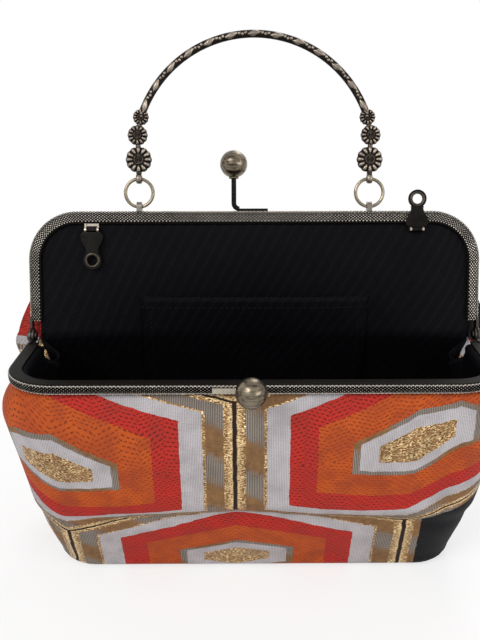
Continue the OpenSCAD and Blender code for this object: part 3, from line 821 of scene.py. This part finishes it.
class Shells:
    """Collects closed shells, with a value a point for dark hollows and painted light, into one piece."""

    def __init__(self):
        self.points = []
        self.faces = []
        self.patina_and_painted_light = []
        self.count = 0

    def add(self, points, faces, patina_and_painted_light=0.0):
        points = np.asarray(points, float).reshape(-1, 3)
        self.points.append(points)
        self.faces += [[i + self.count for i in face] for face in faces]
        self.patina_and_painted_light.append(np.broadcast_to(np.asarray(patina_and_painted_light, float).ravel(), (len(points),)))
        self.count += len(points)

    def piece(self, name, material, smooth=True):
        metal = new_piece(name, np.concatenate(self.points), self.faces, material, smooth)
        give_values(metal, "patina_and_painted_light", np.concatenate(self.patina_and_painted_light))
        turn_outwards(metal)
        return metal


def tube_faces(rows, cols, closed=False):
    """Faces of a tube of rows of cols points, capped at its end rows or closed into a ring."""
    faces = []
    for i in range(rows if closed else rows - 1):
        for j in range(cols):
            a, b = i * cols, (i + 1) % rows * cols
            k = (j + 1) % cols
            faces.append([a + j, a + k, b + k, b + j])
    if not closed:
        faces.append(list(range(cols))[::-1])
        faces.append([(rows - 1) * cols + j for j in range(cols)])
    return faces


def lathe(profile, middle, axis, turns, closed=False):
    """Points and faces of a profile, as (radius, height), turned about an axis through the middle."""
    axis = np.asarray(axis, float) / np.linalg.norm(axis)
    side = np.cross(axis, [0.3, 0.5, 0.8])
    side /= np.linalg.norm(side)
    other = np.cross(axis, side)
    a = 2 * np.pi * np.arange(turns) / turns
    ring = np.cos(a)[:, None] * side + np.sin(a)[:, None] * other
    points = np.array([np.asarray(middle) + r * ring + h * axis for r, h in profile])
    return points, tube_faces(len(points), turns, closed)


def arch_path(step):
    """Points on the outer edge of a frame half, with the way out at each, from foot to foot."""
    leg = np.arange(LEG_END, FRAME_H - FRAME_R, step)
    turn = np.arange(0, math.pi / 2, step / FRAME_R)
    bar = np.arange(-(FRAME_W / 2 - FRAME_R), 0, step)
    left = np.concatenate([
        points_of(-FRAME_W / 2, leg),
        points_of(-(FRAME_W / 2 - FRAME_R) - FRAME_R * np.cos(turn),
                  FRAME_H - FRAME_R + FRAME_R * np.sin(turn)),
        points_of(bar, FRAME_H)])
    out = np.concatenate([
        np.tile([-1.0, 0.0], (len(leg), 1)),
        points_of(-np.cos(turn), np.sin(turn)),
        np.tile([0.0, 1.0], (len(bar), 1))])
    points = np.concatenate([left, [[0.0, FRAME_H]], left[::-1] * FLIP])
    ways = np.concatenate([out, [[0.0, 1.0]], out[::-1] * FLIP])
    return points, ways


def channel_profile():
    """Outer line of the channel's section from lip to lip, as depth and thickness, with its way out."""
    y0, y1 = HALF_GAP, HALF_GAP + BAR_T
    face = np.arange(BAR_DEPTH, BAR_EDGE, -KNURL_ACROSS)
    turn = np.arange(0, math.pi / 2, KNURL_ACROSS / BAR_EDGE)
    rim = np.arange(y0 + BAR_EDGE, y1 - BAR_EDGE, KNURL_ACROSS)
    far, near = BAR_EDGE * np.sin(turn), BAR_EDGE * np.cos(turn)
    line = np.concatenate([
        points_of(face, y0),
        points_of(BAR_EDGE - far, y0 + BAR_EDGE - near),
        points_of(0.0, rim),
        points_of(BAR_EDGE - near, y1 - BAR_EDGE + far),
        points_of(face[::-1], y1)])
    way = np.concatenate([
        np.tile([0.0, -1.0], (len(face), 1)),
        points_of(-np.sin(turn), -np.cos(turn)),
        np.tile([-1.0, 0.0], (len(rim), 1)),
        points_of(-np.cos(turn), np.sin(turn)),
        np.tile([0.0, 1.0], (len(face), 1))])
    return line, way


def make_frame_half(name, place, mirror, plain_face_and_painted_light):
    """Channel of one half, its outside knurled into small pyramids; its closing face may be plain, and that
    half then gets painted shade and stronger painted highlights.
    """
    path, out = arch_path(KNURL_ALONG)
    line, way = channel_profile()
    rows, knurled = len(path), len(line)
    inner = np.array([[BAR_DEPTH, HALF_GAP + BAR_T - SHEET_T], [SHEET_T, HALF_GAP + BAR_T - SHEET_T],
                      [SHEET_T, HALF_GAP + SHEET_T], [BAR_DEPTH, HALF_GAP + SHEET_T]])
    even = (np.add.outer(np.arange(rows), np.arange(knurled)) % 2) == 0
    lift = np.where(even, KNURL_HEIGHT, -KNURL_HEIGHT)
    lift[:, [0, 1, -2, -1]] = 0.0
    # The value goes from 0, rubbed bright, to 1, dark in the hollows; it also carries painted highlights on
    # the rounded edges and, on the front half, painted shade
    patina_and_painted_light = np.where(even, 0.0, 1.0)
    patina_and_painted_light[:, [0, 1, -2, -1]] = 0.8
    # Painted highlight: the rounded edge between the closing face and the rim is made brighter
    edge = (line[:, 0] < 1.2) & (line[:, 1] < HALF_GAP + 1.2)
    patina_and_painted_light[:, edge] *= 0.8
    if plain_face_and_painted_light:
        face = line[:, 1] < HALF_GAP + 0.25
        # Painted shade: the front half's knurl is darkened all over, as it faces away from the light above,
        # and its rounded edges get stronger painted highlights
        patina_and_painted_light[:, ~edge] = np.maximum(patina_and_painted_light[:, ~edge], 0.38)
        painted_highlight_low_edge = (line[:, 0] < 1.0) & (line[:, 1] > HALF_GAP + BAR_T - 1.0)
        patina_and_painted_light[:, painted_highlight_low_edge] *= 0.55
        patina_and_painted_light[:, edge] *= 0.6
        lift[:, face] *= 0.12
        patina_and_painted_light[:, face] = 0.80
    depth = line[None, :, 0] + way[None, :, 0] * lift
    thick = line[None, :, 1] + way[None, :, 1] * lift
    depth = np.concatenate([depth, np.tile(inner[:, 0], (rows, 1))], 1)
    thick = np.concatenate([thick, np.tile(inner[:, 1], (rows, 1))], 1)
    patina_and_painted_light = np.concatenate([patina_and_painted_light, np.full((rows, len(inner)), 0.7)], 1)
    spot = path[:, None, :] - depth[:, :, None] * out[:, None, :]
    grid = points_of(spot[:, :, 0], mirror * thick, spot[:, :, 1])
    cols = grid.shape[1]
    faces = []
    for i in range(rows - 1):
        for j in range(cols):
            k = (j + 1) % cols
            a, b, c, d = i * cols + j, i * cols + k, (i + 1) * cols + k, (i + 1) * cols + j
            if j >= knurled - 1:
                faces.append([a, b, c, d])
            elif (i + j) % 2 == 0:
                faces += [[a, b, d], [b, c, d]]
            else:
                faces += [[a, b, c], [a, c, d]]
    faces.append(list(range(cols))[::-1])
    faces.append([(rows - 1) * cols + j for j in range(cols)])
    half = Shells()
    half.add(place(grid), faces, patina_and_painted_light)
    return half.piece(name, KNURL_METAL, smooth=False)


EAR_R = 4.0


def make_ears(name, place, mirror, ear_depth):
    """Flat hinge ears with rounded ends, one on each leg."""
    turn = np.linspace(math.pi / 2, 2 * math.pi, 30)
    round_end = EAR_R * points_of(np.cos(turn), np.sin(turn))
    tongue = np.array([[HALF_GAP + BAR_T, 0.0], [HALF_GAP + BAR_T, LEG_END + 2.0], [0.0, LEG_END + 2.0]])
    outline = np.concatenate([round_end, tongue])
    ears = Shells()
    for side in (-1, 1):
        outer = side * (FRAME_W / 2 - ear_depth)
        rows = [points_of(outer - side * inward, mirror * outline[:, 0] * s, outline[:, 1] * s)
                for inward, s in ((1.2, 0.94), (1.05, 1.0), (0.15, 1.0), (0.0, 0.94))]
        ears.add(place(np.array(rows)), tube_faces(len(rows), len(outline)), 0.3)
    return ears.piece(name, HINGE_METAL, smooth=False)


# Handle: cast rod in an arc, three flowers and an eye at each end
ARC_HALF = RING_SPAN / 2 - FLOWER_IN[2]
ARC_FOOT = RING_TOP + FLOWER_RISE[2]
ARC_TOP = HANDLE_TOP - ROD_R
ARC_SAG = ARC_TOP - ARC_FOOT
ARC_R = (ARC_HALF ** 2 + ARC_SAG ** 2) / (2 * ARC_SAG)
ARC_ANGLE = math.asin(ARC_HALF / ARC_R)
PETALS = 12
LEAF_STEP = 12.0
ROD_GROUND = ROD_R - 0.42


def rod_shell():
    """Dark rod with a row of raised leaves and beads along its front and its back."""
    along, around = 720, 44
    angle = np.linspace(-ARC_ANGLE, ARC_ANGLE, along)[:, None]
    a = (2 * np.pi * np.arange(around) / around)[None, :]
    s = angle * ARC_R
    step = (s + LEAF_STEP / 2) % LEAF_STEP - LEAF_STEP / 2
    across = ROD_R * np.cos(a) - 0.22 * step
    leaf = np.clip(1 - np.abs(across) / 1.75 - np.abs(step / 3.7) ** 1.6, 0, 1)
    lower = across < 0
    r = ROD_GROUND + 0.75 * leaf ** 0.55
    patina_and_painted_light = np.where(leaf > 0.04, np.where(lower, 0.0, 0.42), 0.94)
    gap = s % LEAF_STEP - LEAF_STEP / 2
    for bead_s, bead_q in ((-1.7, 0.25), (0.0, -0.35), (1.7, 0.25)):
        near = ((gap - bead_s) ** 2 + (ROD_R * np.cos(a) - bead_q) ** 2) / 0.85 ** 2
        r = np.maximum(r, ROD_GROUND + 0.6 * np.sqrt(np.clip(1 - near, 0, 1)))
        patina_and_painted_light = np.where(near < 0.75, 0.12, patina_and_painted_light)
    radius = ARC_R + r * np.cos(a)
    up = ARC_TOP - ARC_R + radius * np.cos(angle)
    points = points_of(radius * np.sin(angle), BAR_MID + r * np.sin(a), up)
    return points, tube_faces(along, around), np.clip(patina_and_painted_light, 0, 1)


def flower_shell(r, x, z):
    """Round flower with the same face on both sides: petals about a rimmed dark eye."""
    share = np.array([0, 0.12, 0.2, 0.26, 0.31, 0.36, 0.40, 0.44,
                      0.5, 0.6, 0.7, 0.8, 0.88, 0.95, 1.0])[:, None]
    turns = PETALS * 10
    a = (2 * np.pi * np.arange(turns) / turns)[None, :]
    ridge = np.abs(np.cos(PETALS * a / 2))
    petal = np.clip((share - 0.42) / 0.12, 0, 1) * ridge ** 0.7
    rim = np.exp(-((share - 0.33) / 0.05) ** 2)
    fall = np.sqrt(np.clip(1 - (np.clip(share - 0.7, 0, 1) / 0.3) ** 2, 0.0, 1))
    lift = FLOWER_T / 2 - 0.9 + (1.2 * petal + 0.9 * rim) * fall - 0.9 * (1 - fall)
    lift = lift + 0.5 * np.clip(1 - share / 0.2, 0, 1)
    rubbed = np.clip((share - 0.42) / 0.12, 0, 1) * np.clip((1.0 - share) / 0.1, 0, 1) * ridge ** 2.2
    patina_and_painted_light = np.clip(1.05 - 1.25 * rubbed - 0.55 * rim, 0, 1) + 0 * a
    edge = r * share * (1 - 0.06 * (1 - ridge) * np.clip((share - 0.5) / 0.5, 0, 1))
    front, back = (points_of(x + edge * np.cos(a), BAR_MID + side * lift, z + edge * np.sin(a))
                   for side in (-1, 1))
    rows = np.concatenate([front, back[::-1]])
    return rows, tube_faces(len(rows), turns), np.concatenate([patina_and_painted_light, patina_and_painted_light[::-1]])


def make_handle():
    casting = Shells()
    points, faces, patina_and_painted_light = rod_shell()
    casting.add(rear_place(points), faces, patina_and_painted_light)
    for side in (-1, 1):
        spots = []
        for r, inward, rise in zip(FLOWER_R, FLOWER_IN, FLOWER_RISE):
            x, z = side * (RING_SPAN / 2 - inward), RING_TOP + rise
            spots.append(np.array([x, BAR_MID, z]))
            points, faces, patina_and_painted_light = flower_shell(r, x, z)
            casting.add(rear_place(points), faces, patina_and_painted_light)
        eye = np.array([side * RING_SPAN / 2, BAR_MID, RING_TOP])
        turn = np.linspace(0, 2 * np.pi, 12, endpoint=False)
        loop = [(1.98 + 0.62 * math.cos(t), 1.5 * math.sin(t)) for t in turn]
        points, faces = lathe(loop, eye, (1, 0, 0), 36, closed=True)
        casting.add(rear_place(points), faces, 0.05)
        foot = eye + [0, 0, 2.2]
        for low, high, r in ((foot, spots[0], 1.5), (spots[0], spots[1], 1.6), (spots[1], spots[2], 1.6)):
            length = np.linalg.norm(high - low)
            stem = [(r * 0.2, 0), (r, 0.3), (r * 0.8, length / 2), (r, length - 0.3), (r * 0.2, length)]
            points, faces = lathe(stem, low, high - low, 20)
            casting.add(rear_place(points), faces, 0.6)
    return casting.piece("handle_casting", CAST_METAL)


def make_ball(name, spot, stem_way, place):
    """Kiss-lock ball with a small collar where its stem goes in."""
    turn = np.linspace(0.04, np.pi - 0.30, 34)
    profile = [(BALL_R * math.sin(t), BALL_R * math.cos(t)) for t in turn]
    profile += [(2.5, -BALL_R * 0.955), (2.7, -BALL_R * 1.0), (2.3, -BALL_R * 1.07), (1.5, -BALL_R * 1.08)]
    ball = Shells()
    points, faces = lathe(profile, spot, stem_way, 64)
    ball.add(place(points), faces)
    return ball.piece(name, BALL_METAL)


def make_eyelet(name, x, z):
    """Rolled rim of a tab's eyelet, on both faces."""
    turn = np.linspace(0, 2 * np.pi, 14, endpoint=False)
    rim = [(3.35 + 0.75 * math.cos(t), 0.68 * math.sin(t)) for t in turn]
    eyelet = Shells()
    points, faces = lathe(rim, (x, 0.0, z), (0, 1, 0), 48, closed=True)
    eyelet.add(rear_place(points), faces, 0.1)
    return eyelet.piece(name, EYELET_METAL)


def make_tab_skirt(name, x, way):
    """Flared plate of a tab, from beside its pin to its eyelet; way is 1 for a tab turned up."""
    side = np.array([(4.6, 1.2), (5.9, 2.6), (5.8, 5.2), (4.7, 7.4), (3.5, 9.4), (3.2, 11.0), (3.4, 12.2)])
    outline = np.concatenate([side, side[::-1] * [-1, 1]])
    middle = outline.mean(0)
    rows = []
    for thick, share in ((-0.56, 0.93), (-0.45, 1.0), (0.45, 1.0), (0.56, 0.93)):
        flat = middle + (outline - middle) * share
        rows.append(points_of(x + flat[:, 0], thick, TAB_PIN_Z + way * flat[:, 1]))
    skirt = Shells()
    skirt.add(rear_place(np.array(rows)), tube_faces(len(rows), len(outline)), 0.2)
    return skirt.piece(name, DARK_METAL, smooth=False)


# Stitches: a Geometry Nodes tree lays short threads along a line
def stitch_tree():
    tree = bpy.data.node_groups.new("stitch_run", "GeometryNodeTree")
    face = tree.interface
    face.new_socket("Geometry", in_out="INPUT", socket_type="NodeSocketGeometry")
    for name, value in (("Pitch", 0.003), ("Length", 0.002), ("Thickness", 0.0003)):
        socket = face.new_socket(name, in_out="INPUT", socket_type="NodeSocketFloat")
        socket.default_value = value
    face.new_socket("Thread", in_out="INPUT", socket_type="NodeSocketMaterial")
    face.new_socket("Geometry", in_out="OUTPUT", socket_type="NodeSocketGeometry")
    node = tree.nodes.new
    source, result = node("NodeGroupInput"), node("NodeGroupOutput")
    curve, spaced = node("GeometryNodeMeshToCurve"), node("GeometryNodeResampleCurve")
    spaced.mode = "LENGTH"
    bead = node("GeometryNodeMeshUVSphere")
    for key, value in (("Segments", 8), ("Rings", 6), ("Radius", 1.0)):
        bead.inputs[key].default_value = value
    size, half = node("ShaderNodeCombineXYZ"), node("ShaderNodeMath")
    half.operation = "MULTIPLY"
    half.inputs[1].default_value = 0.5
    way, turn = node("GeometryNodeInputTangent"), node("FunctionNodeAlignRotationToVector")
    turn.axis = "Z"
    laid = node("GeometryNodeInstanceOnPoints")
    real, finish = node("GeometryNodeRealizeInstances"), node("GeometryNodeSetMaterial")
    for start, output, end, socket in (
            (source, "Geometry", curve, 0), (curve, 0, spaced, "Curve"), (source, "Pitch", spaced, "Length"),
            (source, "Length", half, 0), (half, 0, size, "Z"),
            (source, "Thickness", size, "X"), (source, "Thickness", size, "Y"),
            (way, 0, turn, "Vector"), (turn, 0, laid, "Rotation"), (size, 0, laid, "Scale"),
            (spaced, 0, laid, "Points"), (bead, "Mesh", laid, "Instance"),
            (laid, 0, real, 0), (real, 0, finish, "Geometry"),
            (source, "Thread", finish, "Material"), (finish, 0, result, 0)):
        tree.links.new(start.outputs[output], end.inputs[socket])
    return tree


STITCH_TREE = stitch_tree()


def make_stitches(name, lines, pitch, length, thickness, thread):
    """Threads along lines of points in mm."""
    points, edges = [], []
    for line in lines:
        first = len(points)
        points += (np.asarray(line, float) * MM).tolist()
        edges += [(first + i, first + i + 1) for i in range(len(line) - 1)]
    mesh = bpy.data.meshes.new(name)
    mesh.from_pydata(points, edges, [])
    piece = add_object(name, mesh)
    run = piece.modifiers.new("stitches", "NODES")
    run.node_group = STITCH_TREE
    values = {"Pitch": pitch * MM, "Length": length * MM, "Thickness": thickness * MM, "Thread": thread}
    for item in STITCH_TREE.interface.items_tree:
        if item.in_out == "INPUT" and item.name in values:
            run[item.identifier] = values[item.name]
    return make_plain(piece)


# Cloth pieces
LIP = BAR_DEPTH
BROCADE_TUCKS = [(LIP + 0.2, 6.5), (LIP + 0.9, 5.8), (LIP + 0.6, 4.75), (LIP - 2.0, 4.6)]
LINING_TUCKS = [(LIP + 2.2, 4.2), (LIP + 1.8, 2.9), (LIP + 0.5, 2.45), (LIP - 2.0, 2.45)]

brocade_rear, brocade_body = make_bag_cloth("brocade", 0.0, FRONT_RIM_INSET, FRONT_RIM_DROP, BROCADE_TUCKS,
                                            BROCADE, BROCADE_T, (2.0, 1), 9.0, True)
lining_rear, lining_body = make_bag_cloth("lining", LINING_OUT, LIP + 2.0, FRONT_RIM_DROP, LINING_TUCKS,
                                          LINING_CLOTH, LINING_T, (6.0, 2), 1.0, False)
dress(brocade_rear, "brocade", "bag", "outer_shell")
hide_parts("outer_shell")
follow_front(brocade_body)
dress(lining_rear, "lining_cloth", "bag", "lining")
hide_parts("lining")
follow_front(lining_body)

# Pocket: one sheet of cloth stretched on the lining of the rear wall, stitched at its sides and mouth
POCKET_HALF_W = 62.0
POCKET_FIRST = EDGE_N + 14
POCKET_UP = 0.35
POCKET_ROWS = 7
POCKET_SLACK = 2.6
pocket_inset = LINING_OUT + LINING_T + 0.3
pocket_low = wall_rows(pocket_inset, LIP + 2.0, FRONT_RIM_DROP)[POCKET_FIRST:, :REAR_COLS]
pocket_high = np.array([panel_row(pocket_inset, POCKET_UP * i / POCKET_ROWS)
                        for i in range(1, POCKET_ROWS + 1)])
pocket_grid = np.concatenate([pocket_low, pocket_high])
pocket_cols = np.abs(pocket_grid[0, :, 0]) <= POCKET_HALF_W
pocket_grid = wavy(pocket_grid[:, pocket_cols], 0.5, 3)
pocket_tall = np.linspace(0, 1, len(pocket_grid))[:, None]
pocket_across = np.linspace(-1, 1, pocket_grid.shape[1])[None, :]
pocket_grid[:, :, 1] -= POCKET_SLACK * pocket_tall ** 2 * (1 - pocket_across ** 4)
pocket = Sheets()
pocket_u = -lengths_along(pocket_grid, 1, 0)
pocket_v = lengths_along(pocket_grid, 0, 0)
pocket.add(pocket_grid, pocket_u, pocket_v)
pocket_piece = pocket.piece("inner_pocket_cloth", LINING_CLOTH, LINING_T)
dress(pocket_piece, "lining_cloth", "bag", "inner_pocket")
toward = np.array([0, -0.9, 0.2])
pocket_lines = [pocket_grid[:, 1] + toward, pocket_grid[:, -2] + toward, pocket_grid[-3] + toward,
                pocket_grid[-1] + toward * 0.9]
pocket_stitches = make_stitches("pocket_stitches", pocket_lines, 3.0, 2.1, 0.28, BLACK_THREAD)
dress(pocket_stitches, "lining_cloth", "bag")

# Frame, handle and kiss lock
dress(make_frame_half("rear_frame_half", rear_place, 1, False), "frame_metal", "bag", "rear_frame")
dress(make_ears("rear_hinge_ears", rear_place, 1, 0.0), "frame_metal", "bag", "rear_frame")
dress(make_frame_half("front_frame_half", front_place, -1, True), "frame_metal", "front_half", "front_frame")
dress(make_ears("front_hinge_ears", front_place, -1, 1.5), "frame_metal", "front_half", "front_frame")
dress(make_handle(), "cast_metal", "handle", "handle")
dress(make_ball("rear_ball", REAR_BALL, (0, 0, 1), rear_place), "ball_metal", "bag", "rear_clasp_ball")
front_ball = make_ball("front_ball", FRONT_BALL, FRONT_STEM, front_place)
dress(front_ball, "ball_metal", "front_half", "front_clasp_ball")
dress(make_eyelet("left_eyelet", -TAB_X, TAB_PIN_Z - TAB_LEN), "dark_metal", "left_tab")
dress(make_eyelet("right_eyelet", TAB_X, TAB_PIN_Z + TAB_LEN), "dark_metal", "right_tab")
dress(make_tab_skirt("left_tab_skirt", -TAB_X, -1), "dark_metal", "left_tab")
dress(make_tab_skirt("right_tab_skirt", TAB_X, 1), "dark_metal", "right_tab")

# Solids that stay get their finish
FINISHES = {
    "rear_paper_cord": PAPER, "front_paper_cord": PAPER,
    "hinge_rivets": HINGE_METAL, "rear_clasp_post": DARK_METAL, "front_clasp_post": BRIGHT_METAL,
    "left_ring": RING_METAL, "right_ring": RING_METAL,
    "left_ring_lug": FRAME_METAL, "right_ring_lug": FRAME_METAL,
    "left_tab": DARK_METAL, "right_tab": DARK_METAL,
    "left_tab_clip": BRIGHT_METAL, "right_tab_clip": BRIGHT_METAL,
}
for node, finish in FINISHES.items():
    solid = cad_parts[node]
    solid.data.materials.clear()
    solid.data.materials.append(finish)


# Floor, backdrop and light
def make_floor():
    n = Nodes("floor")
    path = n.new("ShaderNodeLightPath")
    seen = n.math("MAXIMUM", path.outputs["Is Camera Ray"], path.outputs["Is Glossy Ray"])
    seen = n.math("MAXIMUM", seen, path.outputs["Is Transmission Ray"])
    glow = n.new("ShaderNodeEmission")
    glow.inputs["Color"].default_value = (1, 1, 1, 1)
    mixed = n.new("ShaderNodeMixShader")
    reach = n.new("ShaderNodeVectorMath", operation="LENGTH")
    n.link(n.place(), reach.inputs[0])
    n.link(n.mul(seen, n.scaled(reach.outputs["Value"], 0.12, 0.7, 0.65, 1.0)), mixed.inputs[0])
    n.link(n.shader.outputs[0], mixed.inputs[1])
    n.link(glow.outputs[0], mixed.inputs[2])
    n.link(mixed.outputs[0], n.tree.nodes["Material Output"].inputs["Surface"])
    return n.finish(Base_Color=(0.93, 0.93, 0.93, 1), Roughness=0.9)


floor = new_piece("floor", [[-4000, -4000, 0], [4000, -4000, 0], [4000, 4000, 0], [-4000, 4000, 0]],
                  [[0, 1, 2, 3]], make_floor())

world = bpy.data.worlds.new("studio")
scene.world = world
world.use_nodes = True
sky = world.node_tree
sky_path = sky.nodes.new("ShaderNodeLightPath")
white = sky.nodes.new("ShaderNodeBackground")
white.inputs["Color"].default_value = (1, 1, 1, 1)
soft = sky.nodes["Background"]
soft.inputs["Color"].default_value = (0.56, 0.56, 0.56, 1)
either = sky.nodes.new("ShaderNodeMixShader")
sky_seen, sky_through = sky.nodes.new("ShaderNodeMath"), sky.nodes.new("ShaderNodeMath")
sky_seen.operation = "MAXIMUM"
sky_through.operation = "MAXIMUM"
for start, end in ((sky_path.outputs["Is Camera Ray"], sky_seen.inputs[0]),
                   (sky_path.outputs["Is Glossy Ray"], sky_seen.inputs[1]),
                   (sky_seen.outputs[0], sky_through.inputs[0]),
                   (sky_path.outputs["Is Transmission Ray"], sky_through.inputs[1]),
                   (sky_through.outputs[0], either.inputs[0]),
                   (soft.outputs[0], either.inputs[1]),
                   (white.outputs[0], either.inputs[2]),
                   (either.outputs[0], sky.nodes["World Output"].inputs["Surface"])):
    sky.links.new(start, end)


def add_lamp(name, place, aim, size, power):
    data = bpy.data.lights.new(name, "AREA")
    data.size = size
    data.energy = power
    lamp = add_object(name, data)
    lamp.location = place
    lamp.rotation_euler = (Vector(aim) - Vector(place)).to_track_quat("-Z", "Y").to_euler()


add_lamp("key_lamp", (-0.7, -0.9, 1.1), (0, 0, 0.1), 0.7, 10.5)
add_lamp("fill_lamp", (0.9, -0.7, 0.6), (0, 0, 0.1), 0.8, 5.0)
add_lamp("back_lamp", (0.3, 0.9, 0.9), (0, 0, 0.12), 0.6, 5.0)
